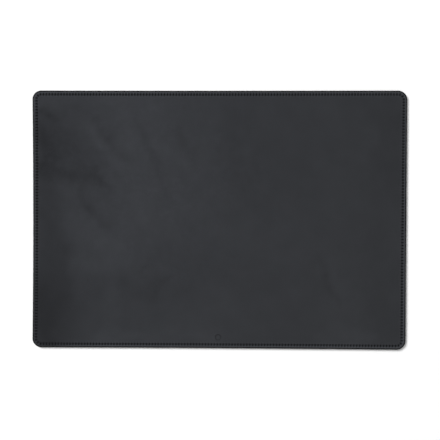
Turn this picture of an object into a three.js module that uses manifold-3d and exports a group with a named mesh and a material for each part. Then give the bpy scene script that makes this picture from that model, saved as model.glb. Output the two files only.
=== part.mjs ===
// A stitched leather desk mat: a bonded stack of backing, board and grain leather, sewn together
// round its edge by a lockstitch seam and sealed by an edge coating.
// Millimetres, +Z up. The origin is the centre of the face that lies on the desk, +X runs along
// the long side and +Y points away from the person who sits at the mat.

import * as THREE from "three";
import { mergeVertices } from "three/addons/utils/BufferGeometryUtils.js";
import Module from "manifold-3d";

// Outline of the finished mat.
const MAT_LENGTH = 580;
const MAT_DEPTH = 400;
const CORNER_RADIUS = 14;
const CORNER_STEPS = 12;

// The bonded stack, from the desk up.
const BACKING_THICKNESS = 0.9;
const FILM_THICKNESS = 0.1;
const BOARD_THICKNESS = 1.2;
const LEATHER_THICKNESS = 1.5;

// The edge coating, and the bevels that are cut on the stack before it is painted.
const COATING_THICKNESS = 0.4;
const TOP_BEVEL = { across: 0.8, down: 0.6 };
const UNDER_BEVEL = { across: 0.5, up: 0.5 };
const COATING_TOP_ROUND = 0.9;
const COATING_UNDER_ROUND = 0.7;
const ROUND_STEPS = 4;

// The seam: a needle thread in a channel on top, and a bobbin thread in one underneath.
const SEAM_INSET = 6;
const CHANNEL_WIDTH = 1.6;
const NEEDLE_CHANNEL_DEPTH = 0.4;
const BOBBIN_CHANNEL_DEPTH = 0.5;
const THREAD_WIDTH = 1.0;
const NEEDLE_THREAD_HEIGHT = 0.5;
const BOBBIN_THREAD_HEIGHT = 0.45;
const THREAD_CORNER = 0.2;

// The plain blind-stamped disc near the front edge.
const STAMP_RADIUS = 4.2;
const STAMP_DEPTH = 0.3;
const STAMP_INSET = 17;
const STAMP_STEPS = 32;

// Heights of the faces between the layers.
const BACKING_TOP = BACKING_THICKNESS;
const BOARD_UNDER = BACKING_TOP + FILM_THICKNESS;
const BOARD_TOP = BOARD_UNDER + BOARD_THICKNESS;
const LEATHER_UNDER = BOARD_TOP + FILM_THICKNESS;
const MAT_TOP = LEATHER_UNDER + LEATHER_THICKNESS;

const wasm = await Module();
wasm.setup();

// The rounded rectangle that runs parallel to the mat's edge, inset from it, anticlockwise.
function outlineAt(inset) {
  const radius = CORNER_RADIUS - inset;
  const centreX = MAT_LENGTH / 2 - CORNER_RADIUS;
  const centreY = MAT_DEPTH / 2 - CORNER_RADIUS;
  const corners = [[1, 1], [-1, 1], [-1, -1], [1, -1]];
  return corners.flatMap(([signX, signY], corner) =>
    Array.from({ length: CORNER_STEPS + 1 }, (_, step) => {
      const angle = (corner + step / CORNER_STEPS) * Math.PI / 2;
      return new THREE.Vector2(
        signX * centreX + radius * Math.cos(angle),
        signY * centreY + radius * Math.sin(angle),
      );
    }),
  );
}

// Joins neighbouring loops of a profile with two triangles for each step round the outline.
function wallTriangles(count, lower, upper) {
  return Array.from({ length: count }, (_, i) => {
    const next = (i + 1) % count;
    return [lower + i, lower + next, upper + next, lower + i, upper + next, upper + i];
  }).flat();
}

function geometryFrom(loops, indices) {
  const positions = loops.flatMap(({ points, height }) => points.flatMap((p) => [p.x, p.y, height]));
  const geometry = new THREE.BufferGeometry();
  geometry.setAttribute("position", new THREE.Float32BufferAttribute(positions, 3));
  geometry.setIndex(indices);
  geometry.computeVertexNormals();
  return geometry;
}

const loopsOf = (profile) => profile.map(([inset, height]) => ({ points: outlineAt(inset), height }));

// A sheet whose edge follows a profile of [inset, height] points, from its underside to its top.
function sheetGeometry(profile) {
  const loops = loopsOf(profile);
  const count = loops[0].points.length;
  const last = (loops.length - 1) * count;
  const walls = loops.slice(1).flatMap((_, k) => wallTriangles(count, k * count, (k + 1) * count));
  const under = THREE.ShapeUtils.triangulateShape(loops[0].points, []);
  const top = THREE.ShapeUtils.triangulateShape(loops.at(-1).points, []);
  return geometryFrom(loops, [
    ...under.flatMap(([a, b, c]) => [a, c, b]),
    ...walls,
    ...top.flatMap(([a, b, c]) => [last + a, last + b, last + c]),
  ]);
}

// A closed ring round the mat with a section of [inset, height] points, listed up its outer side
// and down its inner side.
function ringGeometry(section) {
  const loops = loopsOf(section);
  const count = loops[0].points.length;
  const walls = loops.flatMap((_, k) =>
    wallTriangles(count, k * count, ((k + 1) % loops.length) * count),
  );
  return geometryFrom(loops, walls);
}

function solidOf(geometry) {
  const bare = geometry.clone();
  bare.deleteAttribute("normal");
  bare.deleteAttribute("uv");
  const merged = mergeVertices(bare);
  return new wasm.Manifold(new wasm.Mesh({
    numProp: 3,
    vertProperties: merged.attributes.position.array,
    triVerts: new Uint32Array(merged.index.array),
  }));
}

function geometryOf(solid) {
  const mesh = solid.getMesh();
  const geometry = new THREE.BufferGeometry();
  geometry.setAttribute("position", new THREE.BufferAttribute(mesh.vertProperties, 3));
  geometry.setIndex(new THREE.BufferAttribute(mesh.triVerts, 1));
  geometry.computeVertexNormals();
  return geometry;
}

// Points of a quarter ellipse between two ends, leaving the first along the inset direction.
function quarterRound([insetA, heightA], [insetB, heightB]) {
  return Array.from({ length: ROUND_STEPS + 1 }, (_, step) => {
    const angle = step / ROUND_STEPS * Math.PI / 2;
    return [
      insetA + (insetB - insetA) * Math.sin(angle),
      heightB + (heightA - heightB) * Math.cos(angle),
    ];
  });
}

const leatherFinish = { color: 0x37383b, roughness: 0.55, metalness: 0 };
const suedeFinish = { color: 0x26262a, roughness: 0.95, metalness: 0 };
const boardFinish = { color: 0x5b4634, roughness: 0.9, metalness: 0 };
const filmFinish = { color: 0xd9d3bd, roughness: 0.6, metalness: 0 };
const coatingFinish = { color: 0x111113, roughness: 0.4, metalness: 0 };
const threadFinish = { color: 0x2b2c2f, roughness: 0.7, metalness: 0 };

function addPiece(group, name, geometry, finish) {
  const mesh = new THREE.Mesh(geometry, new THREE.MeshStandardMaterial(finish));
  mesh.name = name;
  group.add(mesh);
}

const seamOuter = SEAM_INSET - CHANNEL_WIDTH / 2;
const seamInner = SEAM_INSET + CHANNEL_WIDTH / 2;
const bevelTopInset = COATING_THICKNESS + TOP_BEVEL.across;
const bevelUnderInset = COATING_THICKNESS + UNDER_BEVEL.across;

function backingGeometry() {
  return sheetGeometry([
    [seamInner, 0],
    [seamInner, BOBBIN_CHANNEL_DEPTH],
    [seamOuter, BOBBIN_CHANNEL_DEPTH],
    [seamOuter, 0],
    [bevelUnderInset, 0],
    [COATING_THICKNESS, UNDER_BEVEL.up],
    [COATING_THICKNESS, BACKING_TOP],
  ]);
}

// A plain layer between two heights, cut flush with the rest of the stack.
function flushLayer(under, top) {
  return sheetGeometry([[COATING_THICKNESS, under], [COATING_THICKNESS, top]]);
}

function leatherGeometry() {
  const panel = sheetGeometry([
    [COATING_THICKNESS, LEATHER_UNDER],
    [COATING_THICKNESS, MAT_TOP - TOP_BEVEL.down],
    [bevelTopInset, MAT_TOP],
    [seamOuter, MAT_TOP],
    [seamOuter, MAT_TOP - NEEDLE_CHANNEL_DEPTH],
    [seamInner, MAT_TOP - NEEDLE_CHANNEL_DEPTH],
    [seamInner, MAT_TOP],
  ]);
  const stamp = new THREE.CylinderGeometry(STAMP_RADIUS, STAMP_RADIUS, 2 * STAMP_DEPTH, STAMP_STEPS);
  stamp.rotateX(Math.PI / 2);
  stamp.translate(0, STAMP_INSET - MAT_DEPTH / 2, MAT_TOP);
  return geometryOf(solidOf(panel).subtract(solidOf(stamp)));
}

function coatingGeometry() {
  const under = quarterRound([bevelUnderInset, 0], [0, COATING_UNDER_ROUND]);
  const top = quarterRound([bevelTopInset, MAT_TOP], [0, MAT_TOP - COATING_TOP_ROUND]);
  return ringGeometry([
    ...under,
    ...top.reverse(),
    [COATING_THICKNESS, MAT_TOP - TOP_BEVEL.down],
    [COATING_THICKNESS, UNDER_BEVEL.up],
  ]);
}

// A thread laid round the seam, with its exposed side rounded off.
function threadGeometry(rest, crown) {
  const shoulder = crown - Math.sign(crown - rest) * THREAD_CORNER;
  const outer = SEAM_INSET - THREAD_WIDTH / 2;
  const inner = SEAM_INSET + THREAD_WIDTH / 2;
  const section = [
    [outer, rest],
    [outer, shoulder],
    [outer + THREAD_CORNER, crown],
    [inner - THREAD_CORNER, crown],
    [inner, shoulder],
    [inner, rest],
  ];
  return ringGeometry(crown > rest ? section : section.reverse());
}

const mat = new THREE.Group();
addPiece(mat, "suede_backing", backingGeometry(), suedeFinish);
addPiece(mat, "lower_bond_film", flushLayer(BACKING_TOP, BOARD_UNDER), filmFinish);
addPiece(mat, "stiffener_board", flushLayer(BOARD_UNDER, BOARD_TOP), boardFinish);
addPiece(mat, "upper_bond_film", flushLayer(BOARD_TOP, LEATHER_UNDER), filmFinish);
addPiece(mat, "top_leather", leatherGeometry(), leatherFinish);
addPiece(mat, "edge_coating", coatingGeometry(), coatingFinish);

const needleRest = MAT_TOP - NEEDLE_CHANNEL_DEPTH;
const bobbinRest = BOBBIN_CHANNEL_DEPTH;
const needleThread = threadGeometry(needleRest, needleRest + NEEDLE_THREAD_HEIGHT);
const bobbinThread = threadGeometry(bobbinRest, bobbinRest - BOBBIN_THREAD_HEIGHT);
addPiece(mat, "needle_thread", needleThread, threadFinish);
addPiece(mat, "bobbin_thread", bobbinThread, threadFinish);

export default mat;
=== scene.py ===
"""The looks of a stitched leather desk mat: grain leather with a sewn border, a painted edge, and
suede underneath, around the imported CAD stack. Metres, in the CAD frame: +X along the long side,
+Y away from the person at the mat, +Z up, and the desk at z = 0."""

import math

import bpy
import numpy as np
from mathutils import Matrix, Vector


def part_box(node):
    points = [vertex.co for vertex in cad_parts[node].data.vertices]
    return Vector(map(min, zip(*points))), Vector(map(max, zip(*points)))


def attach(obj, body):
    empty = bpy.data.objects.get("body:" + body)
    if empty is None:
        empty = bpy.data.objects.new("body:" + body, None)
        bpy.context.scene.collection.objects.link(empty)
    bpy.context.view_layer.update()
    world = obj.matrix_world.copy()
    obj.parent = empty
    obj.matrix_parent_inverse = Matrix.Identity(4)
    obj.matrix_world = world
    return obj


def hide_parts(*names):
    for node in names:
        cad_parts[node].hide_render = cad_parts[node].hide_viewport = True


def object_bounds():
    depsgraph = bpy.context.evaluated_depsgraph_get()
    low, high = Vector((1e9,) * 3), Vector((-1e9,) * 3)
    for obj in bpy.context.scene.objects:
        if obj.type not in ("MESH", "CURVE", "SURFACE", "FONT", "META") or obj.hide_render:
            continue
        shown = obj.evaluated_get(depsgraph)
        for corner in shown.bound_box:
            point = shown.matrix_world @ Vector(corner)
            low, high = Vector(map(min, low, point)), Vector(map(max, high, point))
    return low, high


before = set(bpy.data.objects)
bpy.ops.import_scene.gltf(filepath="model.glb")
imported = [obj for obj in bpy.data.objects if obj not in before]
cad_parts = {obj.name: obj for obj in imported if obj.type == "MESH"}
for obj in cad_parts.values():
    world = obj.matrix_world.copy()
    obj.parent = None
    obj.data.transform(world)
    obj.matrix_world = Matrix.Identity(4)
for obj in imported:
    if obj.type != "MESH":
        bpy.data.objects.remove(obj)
CAD_LOW, CAD_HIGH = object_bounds()

MM = 0.001
RANDOM_SEED = 7

# Sizes read from the imported CAD parts, with the thread's width as the CAD has it.
LENGTH = CAD_HIGH.x - CAD_LOW.x
DEPTH = CAD_HIGH.y - CAD_LOW.y
DESK = CAD_LOW.z
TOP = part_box("top_leather")[1].z
LEATHER_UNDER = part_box("top_leather")[0].z
BOARD_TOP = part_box("stiffener_board")[1].z
BOARD_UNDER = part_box("stiffener_board")[0].z
BACKING_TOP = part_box("suede_backing")[1].z
COATING = CAD_HIGH.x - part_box("top_leather")[1].x
THREAD_WIDTH = 1.0 * MM
SEAM_INSET = CAD_HIGH.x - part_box("needle_thread")[1].x + THREAD_WIDTH / 2
NEEDLE_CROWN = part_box("needle_thread")[1].z
BOBBIN_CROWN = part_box("bobbin_thread")[0].z

# Sizes that the imported parts don't give, as the CAD has them.
CORNER_RADIUS = 14 * MM
TOP_BEVEL_ACROSS = 0.8 * MM
TOP_BEVEL_DOWN = 0.6 * MM
UNDER_BEVEL = 0.5 * MM
COATING_TOP_ROUND = 0.9 * MM
COATING_UNDER_ROUND = 0.7 * MM
STAMP_INSET = 17 * MM
STAMP_CENTRE = (0.0, -DEPTH / 2 + STAMP_INSET)
STAMP_RADIUS = 4.2 * MM
STAMP_DEPTH = 0.3 * MM


# ------------------------------------------------------------------------------ two plain curves


def ease(share):
    """Turns an even rise from 0 to 1 into one that starts and ends gently."""
    return share * share * (3 - 2 * share)


def bell(distance, half_width):
    """1 at no distance, about a third at the half width, and fading to 0 beyond it."""
    return np.exp(-((distance / half_width) ** 2))


# ---------------------------------------------------------------- the outline and the seam line

STITCH_PITCH = 4.6 * MM

# How far each side draws in at its middle.
DRAW_LEFT = 1.3 * MM
DRAW_RIGHT = 0.15 * MM
DRAW_FRONT = 0.65 * MM
DRAW_BACK = 0.35 * MM

# The seam's straight and curved runs, anticlockwise from the front end of the right side.
SIDE_X = LENGTH - 2 * CORNER_RADIUS
SIDE_Y = DEPTH - 2 * CORNER_RADIUS
SEAM_ARC = (CORNER_RADIUS - SEAM_INSET) * math.pi / 2
RUNS = [SIDE_Y, SEAM_ARC, SIDE_X, SEAM_ARC, SIDE_Y, SEAM_ARC, SIDE_X, SEAM_ARC]
KNOTS = np.concatenate([[0.0], np.cumsum(RUNS)])
SEAM_LENGTH = KNOTS[-1]
STITCHES = round(SEAM_LENGTH / STITCH_PITCH)
PITCH = SEAM_LENGTH / STITCHES

# At each knot: the centre of its corner, and which way the seam faces from there.
CENTRE_X = np.array([1, 1, 1, -1, -1, -1, -1, 1, 1]) * SIDE_X / 2
CENTRE_Y = np.array([-1, 1, 1, 1, 1, -1, -1, -1, -1]) * SIDE_Y / 2
FACING = np.array([0, 0, 1, 1, 2, 2, 3, 3, 4]) * math.pi / 2

# How far the hand-guided seam strays outwards (-: inwards) at each knot. The leather goes all the
# way with it between the two middle insets, and less and less towards the outer two.
SEAM_DRIFT = np.array([0.1, 1.1, 0.0, 0.0, -0.5, 0.3, 0.8, 0.3, 0.1]) * MM
DRIFT_INSETS = np.array([2.2, 4.2, 7.8, 9.6]) * MM
DRIFT_SHARES = [0, 1, 1, 0]


def border(along, inset):
    """Points at distances along the seam, anticlockwise, moved to an inset from the edge."""
    along = np.mod(along, SEAM_LENGTH)
    facing = np.interp(along, KNOTS, FACING)
    drift = np.interp(along, KNOTS, SEAM_DRIFT) * np.interp(inset, DRIFT_INSETS, DRIFT_SHARES)
    reach = CORNER_RADIUS - inset + drift
    x = np.interp(along, KNOTS, CENTRE_X) + reach * np.cos(facing)
    y = np.interp(along, KNOTS, CENTRE_Y) + reach * np.sin(facing)
    return x, y


def drawn_in(x, y):
    """Moves points of the flat pattern to where the finished mat has them: its sides bow in."""
    u, v = 2 * x / LENGTH, 2 * y / DEPTH
    pull_x = np.where(u < 0, DRAW_LEFT, -DRAW_RIGHT) * u**2 * (1 - v**2)
    pull_y = np.where(v < 0, DRAW_FRONT, -DRAW_BACK) * v**2 * (1 - u**2)
    return x + pull_x, y + pull_y


# ------------------------------------------------------------------- how the leather's face lies

# Marks on the leather's face, listed in mm: start, end, half width, and how much paler or darker
# (-) it is there. They are partly the hide's own tone and partly painted shade and light along the
# folds and in the broad patches. Pale marks stand a little proud and dark ones lie lower.
HIDE_AND_SHADE_MARKS = [
    # Broad patches.
    ((-276, 130), (-268, 101), 20, -0.38),
    ((-270, 58), (-264, -70), 25, -0.24),
    ((-276, -120), (-266, -190), 34, -0.38),
    ((-240, -45), (-236, -90), 13, -0.14),
    ((-236, -126), (-216, -148), 14, -0.10),
    ((-240, -110), (-240, -135), 18, -0.10),
    ((-242, 126), (-208, 76), 28, -0.22),
    ((-278, 166), (-264, 163), 13, -0.30),
    ((-238, 166), (-208, 162), 10, -0.10),
    ((-125, 170), (-115, 0), 52, 0.06),
    ((34, 175), (46, 20), 38, -0.09),
    ((20, 165), (26, 70), 14, -0.05),
    ((110, 160), (110, 60), 38, -0.06),
    ((262, 150), (262, 60), 24, -0.06),
    ((252, -90), (264, -150), 18, -0.03),
    ((-190, -108), (-50, -108), 22, -0.08),
    ((-80, -55), (90, -95), 30, -0.06),
    ((-60, -165), (10, -140), 20, 0.06),
    ((-195, -15), (-170, -50), 26, 0.10),
    ((-178, -36), (-158, -42), 10, 0.06),
    ((-215, -70), (-140, -72), 14, 0.07),
    ((-126, 40), (-122, 0), 16, 0.08),
    ((-195, 186), (-100, 180), 13, 0.05),
    ((-200, -184), (0, -182), 11, 0.12),
    ((-186, -184), (-134, -184), 11, 0.09),
    ((150, -183), (235, -180), 13, 0.12),
    ((192, -170), (226, -186), 13, 0.08),
    ((200, -80), (210, -150), 24, 0.06),
    ((158, -138), (206, -146), 22, 0.05),
    # The long folds of the back left quarter.
    ((-272, 78), (-236, 66), 11, -0.21),
    ((-224, 66), (-190, 63), 10, -0.09),
    ((-190, 74), (-172, 50), 8, -0.12),
    ((-250, 50), (-226, 44), 8, 0.04),
    ((-205, 152), (-188, 120), 7, 0.07),
    ((-188, 120), (-156, 78), 8, 0.09),
    ((-192, 153), (-170, 126), 6, -0.11),
    ((-170, 126), (-140, 92), 7, -0.10),
    ((-150, 165), (-140, 115), 12, 0.05),
    ((-126, 155), (-114, 118), 6, -0.08),
    ((-106, 106), (-90, 74), 6, -0.13),
    ((-88, 70), (-87, 40), 5, -0.09),
    ((-96, 119), (-52, 88), 10, 0.08),
    ((-66, 140), (-34, 90), 8, -0.10),
    # The front left quarter.
    ((-218, 44), (-202, 18), 9, -0.11),
    ((-202, 18), (-178, -8), 9, -0.15),
    ((-112, -62), (-116, -80), 7, -0.05),
    ((-150, -93), (-114, -76), 7, -0.07),
    ((-84, -92), (-104, -122), 9, -0.10),
    ((-165, -118), (-160, -145), 10, 0.08),
    # The right half.
    ((154, -52), (166, -90), 5, -0.06),
    ((166, -90), (190, -130), 5, -0.10),
    ((168, -54), (194, -116), 9, 0.05),
    ((245, 142), (225, 100), 7, 0.06),
    ((198, 84), (230, 77), 14, -0.05),
    ((-2, 112), (2, 84), 9, -0.05),
    ((62, 102), (62, 82), 8, -0.05),
]

# How high the marks stand at most, and how fast they get there. The broader a mark is than
# NARROW_MARK, in mm, the less it stands up. Then how strongly the marks, the hide's tone and painted
# shade and light together, change the leather's colour, and the darkest that they make it.
MARK_HEIGHT = 0.35 * MM
LIFT_GAIN = 4.0
NARROW_MARK = 9
SHADE_AND_TONE_GAIN = 1.6
LEAST_SHADE_AND_TONE = 0.1

# Broad waves that the glue leaves: wavelengths along X and Y, phase, and height.
WAVES = [
    ((0.31, 0.52), 0.6, 0.30 * MM),
    ((-0.22, 0.35), 2.1, 0.16 * MM),
    ((0.13, -0.17), 4.0, 0.05 * MM),
    ((0.074, 0.092), 1.2, 0.016 * MM),
]

# Smaller waves that bend the marks: wavelengths along X and Y, phase, and reach. They act along X
# as they stand, and along Y with their phases turned.
WANDER = [
    ((0.090, 0.061), 0.3, 3.0 * MM),
    ((-0.047, 0.071), 1.9, 1.8 * MM),
    ((0.023, -0.031), 4.4, 0.8 * MM),
]
WANDER_TURN = 2.0

# The leather lies flat at the seam, and its unevenness grows to full height over this distance.
CALM_REACH = 30 * MM

# The stamped disc's sloping wall, the low rim that it pushes up, and how much darker it is: painted
# shade along its wall, and the stamp's own darkening of its floor.
STAMP_WALL = 0.7 * MM
STAMP_RIM_OUT = 0.8 * MM
STAMP_RIM_HALF = 0.6 * MM
STAMP_RIM_HEIGHT = 0.05 * MM
STAMP_SHADE_HALF = 0.9 * MM
STAMP_WALL_PAINTED_SHADE = 0.5
STAMP_FLOOR_DARKER = 0.05

# The groove that the stitches are pulled into, and the holes that they dive into: how deep those
# are in the leather and in the suede, how far they reach, and how much painted shade darkens the
# leather there.
GROOVE_DEPTH = 0.06 * MM
GROOVE_HALF = 0.9 * MM
TOP_HOLE_DEPTH = 1.4 * MM
UNDER_HOLE_DEPTH = 0.7 * MM
HOLE_ALONG = 1.2 * MM
HOLE_ACROSS = 1.5 * MM
HOLE_PAINTED_SHADE = 0.99

# The leather beside the seam: a little puffed up, most of all midway between two holes, and painted
# paler in a strip on each side, a painted highlight.
PUFF_HEIGHT = 0.08 * MM
PUFF_ASIDE = 2.0 * MM
PUFF_MEAN = 0.6
PUFF_SWING = 0.4
HIGHLIGHT_ASIDE = 2.2 * MM
PAINTED_HIGHLIGHT = 1.0
INNER_HIGHLIGHT_SHARE = 0.3
STRIP_HALF = 1.1 * MM


def waves(x, y, table, turn=0.0):
    """The sum of a table of waves at each point, with their phases shifted by turn."""
    return sum(
        size * np.sin(2 * math.pi * (x / wave_x + y / wave_y) + phase + turn)
        for (wave_x, wave_y), phase, size in table
    )


def mark(x, y, start, end, half_width):
    """1 along a line between two points in mm, fading to 0 on both sides and past its ends."""
    start, end = np.array(start) * MM, np.array(end) * MM
    run = end - start
    length = np.hypot(*run)
    ahead = ((x - start[0]) * run[0] + (y - start[1]) * run[1]) / length
    aside = ((x - start[0]) * run[1] - (y - start[1]) * run[0]) / length
    past = np.maximum(np.maximum(-ahead, ahead - length), 0)
    return bell(np.hypot(aside, past), half_width * MM)


def marks_with_painted_shade(x, y):
    """How much paler or darker the leather's colour is at each point, from the hide's tone and from
    painted shade and light, as a share of its mean tone, and how strongly its narrow marks stand up
    or lie down."""
    bent_x = x + waves(x, y, WANDER)
    bent_y = y + waves(x, y, WANDER, WANDER_TURN)
    tone = np.zeros_like(x)
    lift = np.zeros_like(x)
    for start, end, half_width, strength in HIDE_AND_SHADE_MARKS:
        share = strength * mark(bent_x, bent_y, start, end, half_width)
        tone += share
        lift += share * min(1, NARROW_MARK / half_width)
    return tone, lift


def relief(x, y):
    """How far the leather's face stands above or below its mean height."""
    height = waves(x, y, WAVES) + MARK_HEIGHT * np.tanh(LIFT_GAIN * marks_with_painted_shade(x, y)[1])
    from_edge = np.minimum(LENGTH / 2 - np.abs(x), DEPTH / 2 - np.abs(y))
    return height * ease(np.clip((from_edge - SEAM_INSET) / CALM_REACH, 0, 1))


def past_stamp(x, y):
    """How far each point lies outside the stamped disc's wall (-: inside)."""
    return np.hypot(x - STAMP_CENTRE[0], y - STAMP_CENTRE[1]) - STAMP_RADIUS


def pressed(past):
    """1 on the stamped disc's floor and 0 outside it, with the wall between them."""
    return np.clip(0.5 - past / STAMP_WALL, 0, 1)


def stamp(x, y):
    """The blind-stamped disc: a flat floor, a sloping wall, and a low rim round it."""
    past = past_stamp(x, y)
    rim = STAMP_RIM_HEIGHT * bell(past - STAMP_RIM_OUT, STAMP_RIM_HALF)
    return rim - STAMP_DEPTH * ease(pressed(past))


def stamp_shade_and_burn(x, y):
    """Painted shade darkens the leather along the disc's wall, and the hot stamp darkens its floor a
    little.
    """
    past = past_stamp(x, y)
    wall = STAMP_WALL_PAINTED_SHADE * bell(past, STAMP_SHADE_HALF)
    return 1 - wall - STAMP_FLOOR_DARKER * pressed(past)


def hole_share(along, aside):
    """1 in the middle of a stitch hole, with a short slope down to 0 at its rim. The holes are a
    pitch apart along the seam, and aside is how far a point is from the seam line."""
    from_hole = (np.mod(along / PITCH + 0.5, 1) - 0.5) * PITCH
    reach = (aside / HOLE_ACROSS) ** 2 + (from_hole / HOLE_ALONG) ** 2
    return np.exp(-(reach**2) / 2)


def seam_painted_light(along, inset):
    """The painted light round the seam: near black painted shade in the holes and a painted
    highlight in a strip on each side, of which the outer one is the paler."""
    aside = inset - SEAM_INSET
    strip = bell(np.abs(aside) - HIGHLIGHT_ASIDE, STRIP_HALF) * np.where(aside < 0, 1, INNER_HIGHLIGHT_SHARE)
    return (1 - HOLE_PAINTED_SHADE * hole_share(along, aside)) * (1 + PAINTED_HIGHLIGHT * strip)


def seam_relief(along, inset, hole_depth):
    """How far the seam lifts or sinks the face round it: a groove, a hole at the end of each
    stitch, and a puff on both sides."""
    aside = inset - SEAM_INSET
    groove = GROOVE_DEPTH * bell(aside, GROOVE_HALF)
    hole = hole_depth * hole_share(along, aside)
    between = PUFF_MEAN - PUFF_SWING * np.cos(2 * math.pi * along / PITCH)
    puff = PUFF_HEIGHT * bell(np.abs(aside) - PUFF_ASIDE, STRIP_HALF) * between
    return puff - groove - hole


# --------------------------------------------------------------------------------- mesh building

SHARP_ANGLE = math.radians(50)

# Where the border is sampled along one stitch, closer together at the hole.
HOLE_SAMPLES = np.array([0.0, 0.08, 0.16, 0.30, 0.50, 0.70, 0.84, 0.92])
ALONG = ((np.arange(STITCHES)[:, None] + HOLE_SAMPLES) * PITCH).ravel()
AROUND = len(ALONG)

# Where it is sampled across, in mm from the edge, and the grid of the field inside it.
BAND_INSETS = [2.2, 3.2, 4.2, 4.7, 5.1, 5.4, 5.7, 6.0, 6.3, 6.6, 6.9, 7.3, 7.8, 8.5, 9.6]
FIELD_EDGE = 11.4 * MM
FIELD_X = LENGTH / 2 - FIELD_EDGE
FIELD_Y = DEPTH / 2 - FIELD_EDGE
FIELD_STEP = 2.7 * MM
UNDER_FIELD_STEP = 3 * FIELD_STEP
STAMP_STEP = 0.5 * MM
STAMP_ZONE = STAMP_RADIUS + 2 * MM


def make_object(name, points, faces, material, tone=None):
    """A smooth-shaded object from points and faces, with sharp edges where it really turns."""
    mesh = bpy.data.meshes.new(name)
    mesh.from_pydata(np.asarray(points).tolist(), [], faces)
    mesh.polygons.foreach_set("use_smooth", np.ones(len(mesh.polygons), bool))
    mesh.set_sharp_from_angle(angle=SHARP_ANGLE)
    if tone is not None:
        attribute = mesh.attributes.new("tone", "FLOAT", "POINT")
        attribute.data.foreach_set("value", np.asarray(tone, np.float32))
    mesh.materials.append(material)
    mesh.update()
    piece = bpy.data.objects.new(name, mesh)
    bpy.context.scene.collection.objects.link(piece)
    return piece


def loop_faces(count, lower, upper):
    """Quads between two loops of count points that start at the indices lower and upper."""
    here = np.arange(count)
    after = (here + 1) % count
    quads = np.stack([lower + here, lower + after, upper + after, upper + here], axis=1)
    return quads.tolist()


def zip_loops(points, outer, inner):
    """Triangles between two closed loops with different counts, both anticlockwise."""

    def sorted_by_angle(loop):
        angles = np.arctan2(points[loop, 1], points[loop, 0])
        order = np.argsort(angles)
        return np.asarray(loop)[order], angles[order]

    outer, outer_angle = sorted_by_angle(outer)
    inner, inner_angle = sorted_by_angle(inner)
    outer_next = np.append(outer_angle[1:], outer_angle[0] + 2 * math.pi)
    inner_next = np.append(inner_angle[1:], inner_angle[0] + 2 * math.pi)
    faces = []
    i = j = 0
    while i < len(outer) or j < len(inner):
        here, there = outer[i % len(outer)], inner[j % len(inner)]
        if j == len(inner) or (i < len(outer) and outer_next[i] <= inner_next[j]):
            faces.append([here, outer[(i + 1) % len(outer)], there])
            i += 1
        else:
            faces.append([here, inner[(j + 1) % len(inner)], there])
            j += 1
    return [[int(v) for v in face] for face in faces]


def even_lines(start, end, step):
    """Places from start to end, both of them in, about a step apart."""
    return np.linspace(start, end, round((end - start) / step) + 1)


def field_grid(lines_x, lines_y, start):
    """A rectangular grid: its points, its quads, and its outer loop anticlockwise."""
    x, y = (a.ravel() for a in np.meshgrid(lines_x, lines_y))
    index = start + np.arange(x.size).reshape(len(lines_y), len(lines_x))
    corners = [index[:-1, :-1], index[:-1, 1:], index[1:, 1:], index[1:, :-1]]
    quads = np.stack([c.ravel() for c in corners], axis=1).tolist()
    loop = np.concatenate([index[0, :-1], index[:-1, -1], index[-1, :0:-1], index[:0:-1, 0]])
    return x, y, quads, loop


def skin_panel(name, material, rim, lines, surface, up, hole_depth, tint=None):
    """One outer sheet of the stack, as a closed mesh: a wall, a sewn border, a field inside it, and
    one flat face across the hidden side. rim is [inset, height] pairs up the wall, where a height
    of None follows the surface. surface(x, y) is the height of the bare face and tint(x, y) its
    tone with its painted shade and light, which the seam's painted shade and highlight multiply. up
    is
    1 where the face looks up and -1 where it looks down."""
    rows = rim + [(inset * MM, None) for inset in BAND_INSETS]
    along, inset = np.meshgrid(ALONG, [inset for inset, _ in rows])
    band_x, band_y = border(along, inset)
    band_height = surface(band_x, band_y) + up * seam_relief(along, inset, hole_depth)
    band_height = np.maximum(band_height, DESK)
    for row, (_, fixed) in enumerate(rows):
        if fixed is not None:
            band_height[row] = fixed
    field_x, field_y, quads, loop = field_grid(*lines, start=band_x.size)
    x = np.concatenate([band_x.ravel(), field_x])
    y = np.concatenate([band_y.ravel(), field_y])
    height = np.concatenate([band_height.ravel(), surface(field_x, field_y)])
    points = np.stack([*drawn_in(x, y), height], axis=1)
    tone = None
    if tint is not None:
        # The band's tone: the face's tone and painted shade, times the seam's painted shade and
        # highlight.
        band_shade_and_tone = tint(band_x, band_y) * seam_painted_light(along, inset)
        tone = np.concatenate([band_shade_and_tone.ravel(), tint(field_x, field_y)])
    faces = []
    for row in range(len(rows) - 1):
        faces += loop_faces(AROUND, row * AROUND, (row + 1) * AROUND)
    innermost = np.arange((len(rows) - 1) * AROUND, len(rows) * AROUND)
    faces += zip_loops(points, innermost, loop) + quads
    faces.append(list(range(AROUND))[::-1])
    if up < 0:
        faces = [face[::-1] for face in faces]
    return make_object(name, points, faces, material, tone)


# ------------------------------------------------------------------------------------ materials

# Where most of a noise's values lie.
NOISE_LOW, NOISE_HIGH = 0.3, 0.7


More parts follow.
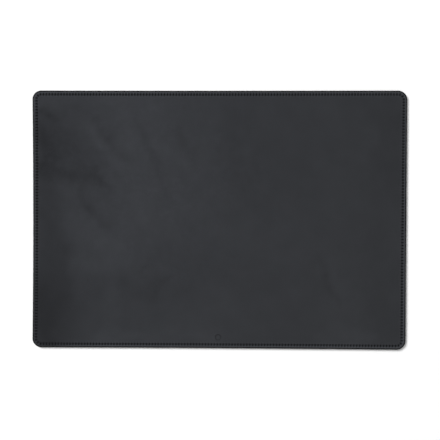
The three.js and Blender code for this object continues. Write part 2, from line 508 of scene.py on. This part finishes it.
class Look:
    """A node material while it is put together."""

    def __init__(self, name, **sockets):
        self.material = bpy.data.materials.new(name)
        self.material.use_nodes = True
        self.tree = self.material.node_tree
        self.shader = self.tree.nodes["Principled BSDF"]
        for socket, value in sockets.items():
            self.shader.inputs[socket.replace("_", " ")].default_value = value
        self.place = self.add("ShaderNodeTexCoord").outputs["Object"]

    def add(self, kind, settings=(), **inputs):
        """A new node with these settings, and with values or outputs on its named inputs."""
        node = self.tree.nodes.new(kind)
        for key, value in dict(settings).items():
            setattr(node, key, value)
        for key, value in inputs.items():
            self.put(node.inputs[key.replace("_", " ")], value)
        return node

    def put(self, socket, value):
        """Sets an input to a value, or links it to another node's output."""
        if isinstance(value, bpy.types.NodeSocket):
            self.tree.links.new(value, socket)
        else:
            socket.default_value = value

    def finish(self, colour, roughness, *bumps):
        """Puts the colour and the roughness on the shader, then bump layers of (height, distance
        in metres), the coarsest first."""
        self.put(self.shader.inputs["Base Color"], colour)
        self.put(self.shader.inputs["Roughness"], roughness)
        normal = None
        for height, distance in bumps:
            node = self.add("ShaderNodeBump", Strength=1.0, Distance=distance, Height=height)
            if normal is not None:
                self.put(node.inputs["Normal"], normal)
            normal = node.outputs["Normal"]
        self.put(self.shader.inputs["Normal"], normal)
        return self.material

    def noise(self, size, detail=2.0, roughness=0.5):
        """Smooth noise whose features are about this size in metres."""
        node = self.add("ShaderNodeTexNoise", Vector=self.place, Scale=1 / size, Detail=detail,
                        Roughness=roughness)
        return node.outputs["Fac"]

    def bent_place(self, size, reach):
        """The place on the object, pushed about by noise of this size, by about this reach."""
        push = self.add("ShaderNodeTexNoise", Vector=self.place, Scale=1 / size).outputs["Color"]
        bend = self.add("ShaderNodeVectorMath", {"operation": "MULTIPLY_ADD"})
        for socket, value in zip(bend.inputs, [push, (reach, reach, reach), self.place]):
            self.put(socket, value)
        return bend.outputs[0]

    def cell_edges(self, size, place):
        """How far it is to the edge, in a pattern of irregular cells of about this size."""
        node = self.add("ShaderNodeTexVoronoi", {"feature": "DISTANCE_TO_EDGE"}, Vector=place,
                        Scale=1 / size)
        return node.outputs["Distance"]

    def span(self, value, low, high, to_low, to_high):
        """Maps a value from one span to another, and holds it inside."""
        node = self.add("ShaderNodeMapRange", {"clamp": True}, Value=value)
        bounds = {"From Min": low, "From Max": high, "To Min": to_low, "To Max": to_high}
        for socket, bound in bounds.items():
            node.inputs[socket].default_value = bound
        return node.outputs["Result"]

    def spread(self, noise, to_low=0.0, to_high=1.0):
        """Maps a noise so that most of its values fill the new span."""
        return self.span(noise, NOISE_LOW, NOISE_HIGH, to_low, to_high)

    def blend(self, share, a, b, blend_type="MIX"):
        """Mixes two colours, or a colour and a texture's output."""
        node = self.add("ShaderNodeMix", {"data_type": "RGBA", "blend_type": blend_type})
        colours = [s for s in node.inputs if s.type == "RGBA"]
        self.put(node.inputs[0], share)
        self.put(colours[0], a)
        self.put(colours[1], b)
        return next(s for s in node.outputs if s.type == "RGBA")

    def attribute(self, name):
        """A value that the mesh keeps at each of its points."""
        return self.add("ShaderNodeAttribute", {"attribute_name": name}).outputs["Fac"]


def grey(value, blue=0.0):
    """A grey of this value, made a little bluer by a share of it."""
    return (value, value * (1 + blue / 3), value * (1 + blue), 1.0)


LEATHER_DEEP = grey(0.0150, 0.22)
LEATHER_MIDDLE = grey(0.0189, 0.20)
LEATHER_WORN = grey(0.0208, 0.18)
LEATHER_PIT_SHADE = grey(0.010, 0.2)
PAINT_DARK = grey(0.002, 0.1)
PAINT_PALE = grey(0.004, 0.1)
THREAD_DARK = grey(0.022, 0.25)
THREAD_PALE = grey(0.030, 0.25)
SUEDE_DARK = grey(0.017, 0.02)
SUEDE_PALE = grey(0.030)
SUEDE_PIT = grey(0.012)
BOARD_DARK = (0.07, 0.042, 0.025, 1)
BOARD_PALE = (0.15, 0.10, 0.062, 1)
BOARD_CLOUD = (0.12, 0.085, 0.06, 1)
GLUE_DARK = (0.52, 0.45, 0.31, 1)
GLUE_PALE = (0.68, 0.62, 0.47, 1)
FLOOR_WHITE = (0.88, 0.88, 0.88, 1)

# How far a pebble of the grain slopes up from its edge, as a share of its size, and how much of
# their own colours the worn patches and the painted shade in the pits between the pebbles show.
PEBBLE_SHOULDER = 0.28
WORN_SHARE = 0.5
PIT_SHADE_SHARE = 0.35


def grain_leather():
    """Black-dyed leather with a fine pebble grain, and painted shade in the pits between its
    pebbles. Its colour varies with the hide's tone and with painted shade and light from the marks,
    the seam and the stamp.
    """
    look = Look("grain_leather", Specular_IOR_Level=0.2)
    place = look.bent_place(1.6 * MM, reach=0.5 * MM)
    pebble = look.span(look.cell_edges(0.95 * MM, place), 0, PEBBLE_SHOULDER, 0, 1)
    broad = look.noise(32 * MM, detail=3.0)
    patch = look.noise(9 * MM, detail=3.0, roughness=0.6)
    lumps = look.noise(3.2 * MM)
    fine = look.noise(0.3 * MM)
    colour = look.blend(look.spread(broad), LEATHER_DEEP, LEATHER_MIDDLE)
    colour = look.blend(look.span(patch, 0.25, 0.75, 0, WORN_SHARE), colour, LEATHER_WORN)
    # Painted shade in the pits between the pebbles.
    colour = look.blend(look.span(pebble, 0, 1, PIT_SHADE_SHARE, 0), colour, LEATHER_PIT_SHADE)
    # The tone attribute multiplies in the hide's tone and the painted shade and light of the marks,
    # the seam and the stamp.
    colour = look.blend(1.0, colour, look.attribute("tone"), "MULTIPLY")
    roughness = look.spread(patch, 0.50, 0.57)
    bumps = [(lumps, 0.07 * MM), (pebble, 0.045 * MM), (fine, 0.02 * MM)]
    return look.finish(colour, roughness, *bumps)


def edge_paint():
    """Several coats of black edge paint, smooth but not flat."""
    look = Look("edge_paint", Specular_IOR_Level=0.12)
    ripples = look.noise(5 * MM)
    specks = look.noise(0.6 * MM, detail=3.0)
    colour = look.blend(ripples, PAINT_DARK, PAINT_PALE)
    roughness = look.spread(specks, 0.50, 0.62)
    return look.finish(colour, roughness, (ripples, 0.10 * MM), (specks, 0.02 * MM))


def sewing_thread():
    """Black bonded polyester thread: fine filaments, with a slight sheen."""
    look = Look("sewing_thread", Specular_IOR_Level=0.25)
    fibres = look.noise(0.12 * MM, detail=3.0, roughness=0.7)
    colour = look.blend(look.noise(6 * MM), THREAD_DARK, THREAD_PALE)
    return look.finish(colour, look.spread(fibres, 0.6, 0.8), (fibres, 0.03 * MM))


def backing_suede():
    """Charcoal suede with a short nap that lies in soft patches."""
    look = Look("backing_suede", Sheen_Weight=0.3, Sheen_Roughness=0.5, Specular_IOR_Level=0.2)
    nap = look.noise(14 * MM, detail=3.0, roughness=0.6)
    pile = look.noise(0.35 * MM, detail=3.0, roughness=0.7)
    colour = look.blend(look.spread(nap), SUEDE_DARK, SUEDE_PALE)
    colour = look.blend(look.spread(pile, 0, 0.5), colour, SUEDE_PIT)
    roughness = look.spread(pile, 0.85, 1.0)
    return look.finish(colour, roughness, (nap, 0.15 * MM), (pile, 0.12 * MM))


def leather_board():
    """Bonded leather fibre: brown, with pale and dark shreds."""
    look = Look("leather_board", Specular_IOR_Level=0.2)
    shreds = look.noise(1.8 * MM, detail=4.0, roughness=0.65)
    cloud = look.noise(12 * MM)
    colour = look.blend(look.spread(shreds), BOARD_DARK, BOARD_PALE)
    colour = look.blend(look.spread(cloud, 0, 0.4), colour, BOARD_CLOUD)
    return look.finish(colour, look.spread(shreds, 0.8, 0.95), (shreds, 0.1 * MM))


def bond_film():
    """Dried contact glue: cream, a little uneven."""
    look = Look("bond_film")
    streaks = look.noise(4 * MM, detail=3.0)
    colour = look.blend(streaks, GLUE_DARK, GLUE_PALE)
    return look.finish(colour, look.spread(streaks, 0.45, 0.65), (streaks, 0.03 * MM))


def studio_floor():
    """A plain, matt, nearly white floor."""
    look = Look("studio_floor", Base_Color=FLOOR_WHITE, Roughness=0.9, Specular_IOR_Level=0.0)
    return look.material


# --------------------------------------------------------------------------------------- pieces

# The coat of paint: steps in each rounding, how far it stands above the leather, how far it laps
# onto the top face past the bevel, and how deep its hidden side is tucked in.
ROUND_STEPS = 7
LIP = 0.04 * MM
LAP = 0.6 * MM
TUCK = 0.06 * MM

# How unevenly it is brushed: its rims on the two faces wander, and its outside is dented.
LAP_WANDER = 0.10 * MM
LAP_WANDER_SIZE = 7 * MM
UNDER_WANDER_SHARE = 0.6
DENT_DEPTH = 0.04 * MM
DENT_SIZE = 16 * MM

# The thread: three strands laid together, which swell its outline and turn once in each lay.
THREAD_RADIUS = 0.52 * MM
THREAD_SIDES = 12
THREAD_SECTIONS = 15
THREAD_LOBES = 3
THREAD_LAY = 2.4 * MM
LOBE_SHARE = 0.09

# Each stitch: how far apart two of them are at a hole, how deep and how steeply they dive into it,
# how far they lie askew, and how much they differ in length, place and height.
HOLE_GAP = 2.2 * MM
THREAD_DIVE = 1.3 * MM
DIVE_POWER = 5
DIVE_REACH = 0.985
STITCH_SLANT = 0.22 * MM
STITCH_PLAY = 0.05 * MM
STITCH_SINK = 0.04 * MM


def top_leather_piece(material):
    """The leather panel. Its field's lines are closer together across the stamped disc, and from
    the field's front edge to behind the disc."""
    rim = [
        (COATING, LEATHER_UNDER),
        (COATING, TOP - TOP_BEVEL_DOWN),
        (COATING + TOP_BEVEL_ACROSS, None),
    ]
    left, right = STAMP_CENTRE[0] - STAMP_ZONE, STAMP_CENTRE[0] + STAMP_ZONE
    behind = STAMP_CENTRE[1] + STAMP_ZONE
    lines_x = [
        even_lines(-FIELD_X, left, FIELD_STEP)[:-1],
        even_lines(left, right, STAMP_STEP),
        even_lines(right, FIELD_X, FIELD_STEP)[1:],
    ]
    lines_y = [
        even_lines(-FIELD_Y, behind, STAMP_STEP),
        even_lines(behind, FIELD_Y, FIELD_STEP)[1:],
    ]
    lines = [np.concatenate(lines_x), np.concatenate(lines_y)]

    def surface(x, y):
        return TOP + relief(x, y) + stamp(x, y)

    # The marks' tone and painted shade and light, times the stamp's painted shade and darkened
    # floor.
    def tint(x, y):
        return np.maximum(1 + SHADE_AND_TONE_GAIN * marks_with_painted_shade(x, y)[0], LEAST_SHADE_AND_TONE) * stamp_shade_and_burn(x, y)

    return skin_panel(
        "top_leather_skin", material, rim, lines, surface, 1, TOP_HOLE_DEPTH, tint
    )


def suede_piece(material):
    """The suede backing, flat on the desk but for its seam."""
    rim = [(COATING, BACKING_TOP), (COATING, DESK + UNDER_BEVEL), (COATING + UNDER_BEVEL, None)]
    lines = [even_lines(-end, end, UNDER_FIELD_STEP) for end in (FIELD_X, FIELD_Y)]

    def surface(x, y):
        return np.full_like(x, DESK)

    return skin_panel("suede_backing_skin", material, rim, lines, surface, -1, UNDER_HOLE_DEPTH)


def smooth_noise(along, size, seed):
    """Noise from -1 to 1 that runs round the mat without a join, with bumps of about this size."""
    rng = np.random.default_rng(RANDOM_SEED + seed)
    knots = round(SEAM_LENGTH / size)
    values = rng.uniform(-1, 1, knots)
    place = np.mod(along / SEAM_LENGTH, 1) * knots
    base = np.floor(place).astype(int)
    share = ease(place - base)
    return values[base % knots] * (1 - share) + values[(base + 1) % knots] * share


def ring_piece(name, material, section, wobble):
    """A closed ring round the mat. section is [inset, height] pairs round its outside; wobble
    gives each pair's own shift in inset along the ring."""
    loops = []
    for k, (inset, level) in enumerate(section):
        x, y = drawn_in(*border(ALONG, inset + wobble(k, ALONG)))
        loops.append(np.stack([x, y, np.full(AROUND, level)], axis=1))
    faces = []
    for k in range(len(section)):
        faces += loop_faces(AROUND, k * AROUND, (k + 1) % len(section) * AROUND)
    return make_object(name, np.concatenate(loops), faces, material)


def quarter_round(start, end):
    """A quarter ellipse between two [inset, height] points, leaving the first along the inset."""
    turn = np.linspace(0, math.pi / 2, ROUND_STEPS + 1)
    inset = start[0] + (end[0] - start[0]) * np.sin(turn)
    height = end[1] + (start[1] - end[1]) * np.cos(turn)
    return list(zip(inset, height))


def painted_edge_piece(material):
    """The coat of paint: rounded outside, lapping a little onto the top face, ending with the bevel
    underneath, and tucked in behind."""
    under_inset = COATING + UNDER_BEVEL
    top_inset = COATING + TOP_BEVEL_ACROSS + LAP
    under = quarter_round((under_inset, DESK), (0, DESK + COATING_UNDER_ROUND))
    top = quarter_round((top_inset, TOP + LIP), (0, TOP - COATING_TOP_ROUND))
    hidden = [
        (top_inset + TUCK, TOP - TUCK),
        (COATING + TUCK, TOP - TOP_BEVEL_DOWN - TUCK),
        (COATING + TUCK, DESK + UNDER_BEVEL + TUCK),
        (under_inset + TUCK, DESK + TUCK),
    ]
    section = under + top[::-1] + hidden
    top_rim = len(under) + len(top) - 1
    under_rim = len(section) - 1
    wander_shares = {
        top_rim: 1,
        top_rim + 1: 1,
        under_rim: UNDER_WANDER_SHARE,
        0: UNDER_WANDER_SHARE,
    }
    outside = range(ROUND_STEPS // 2 + 1, 2 * ROUND_STEPS)

    def wobble(k, along):
        shift = LAP_WANDER * smooth_noise(along, LAP_WANDER_SIZE, 1) * wander_shares.get(k, 0)
        dents = DENT_DEPTH * (1 + smooth_noise(along, DENT_SIZE, 2))
        return shift + (dents if k in outside else 0)

    return ring_piece("painted_edge", material, section, wobble)


def flush_layer(name, material, under, top):
    """A plain sheet inside the stack, cut flush with it."""
    along = ALONG[::len(HOLE_SAMPLES)]
    x, y = drawn_in(*border(along, np.full(len(along), COATING)))
    count = len(along)
    loops = [np.stack([x, y, np.full(count, z)], axis=1) for z in (under, top)]
    faces = loop_faces(count, 0, count)
    faces += [list(range(count))[::-1], list(range(count, 2 * count))]
    return make_object(name, np.concatenate(loops), faces, material)


def stitch_faces():
    """The faces of every stitch in a row: quads round it, and a cap at each end."""
    ring = np.arange(THREAD_SIDES)
    faces = []
    for stitch in range(STITCHES):
        first = stitch * THREAD_SECTIONS * THREAD_SIDES
        last = first + (THREAD_SECTIONS - 1) * THREAD_SIDES
        for lower in range(first, last, THREAD_SIDES):
            faces += loop_faces(THREAD_SIDES, lower, lower + THREAD_SIDES)
        faces.append((first + ring[::-1]).tolist())
        faces.append((last + ring).tolist())
    return faces


def stitch_row(name, material, crown, up):
    """Every stitch on one face of the mat: a twisted thread that rises out of one hole, lies
    along the groove and dives into the next. up is 1 on top and -1 underneath."""
    rng = np.random.default_rng(RANDOM_SEED)
    per_stitch = (STITCHES, 1, 1)
    u = np.linspace(-1, 1, THREAD_SECTIONS)[None, :, None]
    turn = (2 * math.pi * np.arange(THREAD_SIDES) / THREAD_SIDES)[None, None, :]
    half = (PITCH - HOLE_GAP) / 2 + rng.uniform(-1, 1, per_stitch) * STITCH_PLAY
    middle = (np.arange(STITCHES).reshape(per_stitch) + 0.5) * PITCH
    dive = THREAD_DIVE * (1 - np.sqrt(1 - (DIVE_REACH * np.abs(u)) ** DIVE_POWER))
    sink = rng.uniform(0, 1, per_stitch) * STITCH_SINK
    centre = crown - up * (THREAD_RADIUS + dive + sink)
    tilt = -np.arctan(np.gradient(dive[0, :, 0], u[0, :, 0]).reshape(1, -1, 1) / half)
    side = SEAM_INSET + rng.uniform(-1, 1, per_stitch) * STITCH_PLAY + STITCH_SLANT * u / 2 * up
    twist = THREAD_LOBES * (turn - 2 * math.pi * (middle + half * u) / THREAD_LAY)
    radius = THREAD_RADIUS * (1 + LOBE_SHARE * np.cos(twist))
    along = middle + half * u - np.sin(tilt) * np.sin(turn) * radius
    inset = side + np.cos(turn) * radius
    height = centre + up * np.cos(tilt) * np.sin(turn) * radius
    along, inset, height = (a.ravel() for a in np.broadcast_arrays(along, inset, height))
    points = np.stack([*drawn_in(*border(along, inset)), height], axis=1)
    faces = stitch_faces()
    if up < 0:
        faces = [face[::-1] for face in faces]
    return make_object(name, points, faces, material)


def add_pieces():
    """Makes every piece, attaches it to the root body, and hides the CAD part that it replaces."""
    leather = top_leather_piece(grain_leather())
    suede = suede_piece(backing_suede())
    film = bond_film()
    thread = sewing_thread()
    board = flush_layer("stiffener_sheet", leather_board(), BOARD_UNDER, BOARD_TOP)
    upper_film = flush_layer("upper_glue_film", film, BOARD_TOP, LEATHER_UNDER)
    lower_film = flush_layer("lower_glue_film", film, BACKING_TOP, BOARD_UNDER)
    edge = painted_edge_piece(edge_paint())
    needle = stitch_row("top_stitches", thread, NEEDLE_CROWN, 1)
    bobbin = stitch_row("under_stitches", thread, BOBBIN_CROWN, -1)
    for piece, node, slot in [
        (leather, "top_leather", "grain_leather"),
        (suede, "suede_backing", "backing_suede"),
        (board, "stiffener_board", "leather_board"),
        (upper_film, "upper_bond_film", "bond_film"),
        (lower_film, "lower_bond_film", "bond_film"),
        (edge, "edge_coating", "edge_paint"),
        (needle, "needle_thread", "sewing_thread"),
        (bobbin, "bobbin_thread", "sewing_thread"),
    ]:
        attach(piece, "root")
        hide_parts(node)


# ---------------------------------------------------------------------------- floor, light, camera

FLOOR_SIZE = 40
FLOOR_DROP = 0.01 * MM
WORLD_COLOUR = (1, 1, 1, 1)
WORLD_STRENGTH = 0.5

# The overhead light's tint.
COOL = (0.91, 0.96, 1.14)

# Where the camera stands, from the mat's middle, the point that it looks at, and its lens.
CAMERA_HEIGHT = 1.2
CAMERA_RIGHT = 0.0278
CAMERA_BACK = 0.0171
CAMERA_AIM_X = 0.0023
CAMERA_AIM_Y = -0.0002
CAMERA_ROLL = math.radians(0.196)
CAMERA_LENS = 63.2


def add_floor():
    """A wide floor, a hair below the mat's underside."""
    bpy.ops.mesh.primitive_plane_add(size=FLOOR_SIZE, location=(0, 0, DESK - FLOOR_DROP))
    floor = bpy.context.object
    floor.name = "studio_floor"
    floor.data.materials.append(studio_floor())


def add_area_light(name, compass, elevation, distance, size, watts):
    """A square light at a compass angle from +Y towards -X, aimed at the mat's centre."""
    data = bpy.data.lights.new(name, "AREA")
    data.shape = "SQUARE"
    data.size = size
    data.energy = watts
    light = bpy.data.objects.new(name, data)
    bpy.context.scene.collection.objects.link(light)
    turn, rise = math.radians(compass), math.radians(elevation)
    level = math.cos(rise)
    away = Vector((-math.sin(turn) * level, math.cos(turn) * level, math.sin(rise)))
    light.location = away * distance
    light.rotation_euler = away.to_track_quat("Z", "Y").to_euler()
    light.visible_camera = False
    return light


def add_lights():
    """An even white world, a key light that gives the shadow but no highlight, and two lights that
    give only a sheen."""
    world = bpy.data.worlds.new("studio")
    bpy.context.scene.world = world
    world.use_nodes = True
    background = world.node_tree.nodes["Background"]
    background.inputs["Color"].default_value = WORLD_COLOUR
    background.inputs["Strength"].default_value = WORLD_STRENGTH
    key = add_area_light("key", compass=50, elevation=38, distance=10.0, size=4.2, watts=1215)
    key.visible_glossy = False
    overhead = add_area_light("overhead", compass=63, elevation=77, distance=2.5, size=0.5, watts=21)
    overhead.data.color = COOL
    overhead.visible_diffuse = False
    front = add_area_light("front", compass=223, elevation=72, distance=2.6, size=1.0, watts=4)
    front.visible_diffuse = False


def add_camera():
    """Almost straight above the mat, a little to the right of its middle and behind it."""
    data = bpy.data.cameras.new("camera")
    data.lens = CAMERA_LENS
    camera = bpy.data.objects.new("camera", data)
    bpy.context.scene.collection.objects.link(camera)
    camera.location = (CAMERA_RIGHT, CAMERA_BACK, CAMERA_HEIGHT)
    tip = -math.atan((CAMERA_BACK - CAMERA_AIM_Y) / CAMERA_HEIGHT)
    lean = math.atan((CAMERA_RIGHT - CAMERA_AIM_X) / CAMERA_HEIGHT)
    camera.rotation_euler = (tip, lean, CAMERA_ROLL)
    bpy.context.scene.camera = camera


add_pieces()
add_floor()
add_lights()
add_camera()
bpy.context.scene.view_settings.view_transform = "Standard"
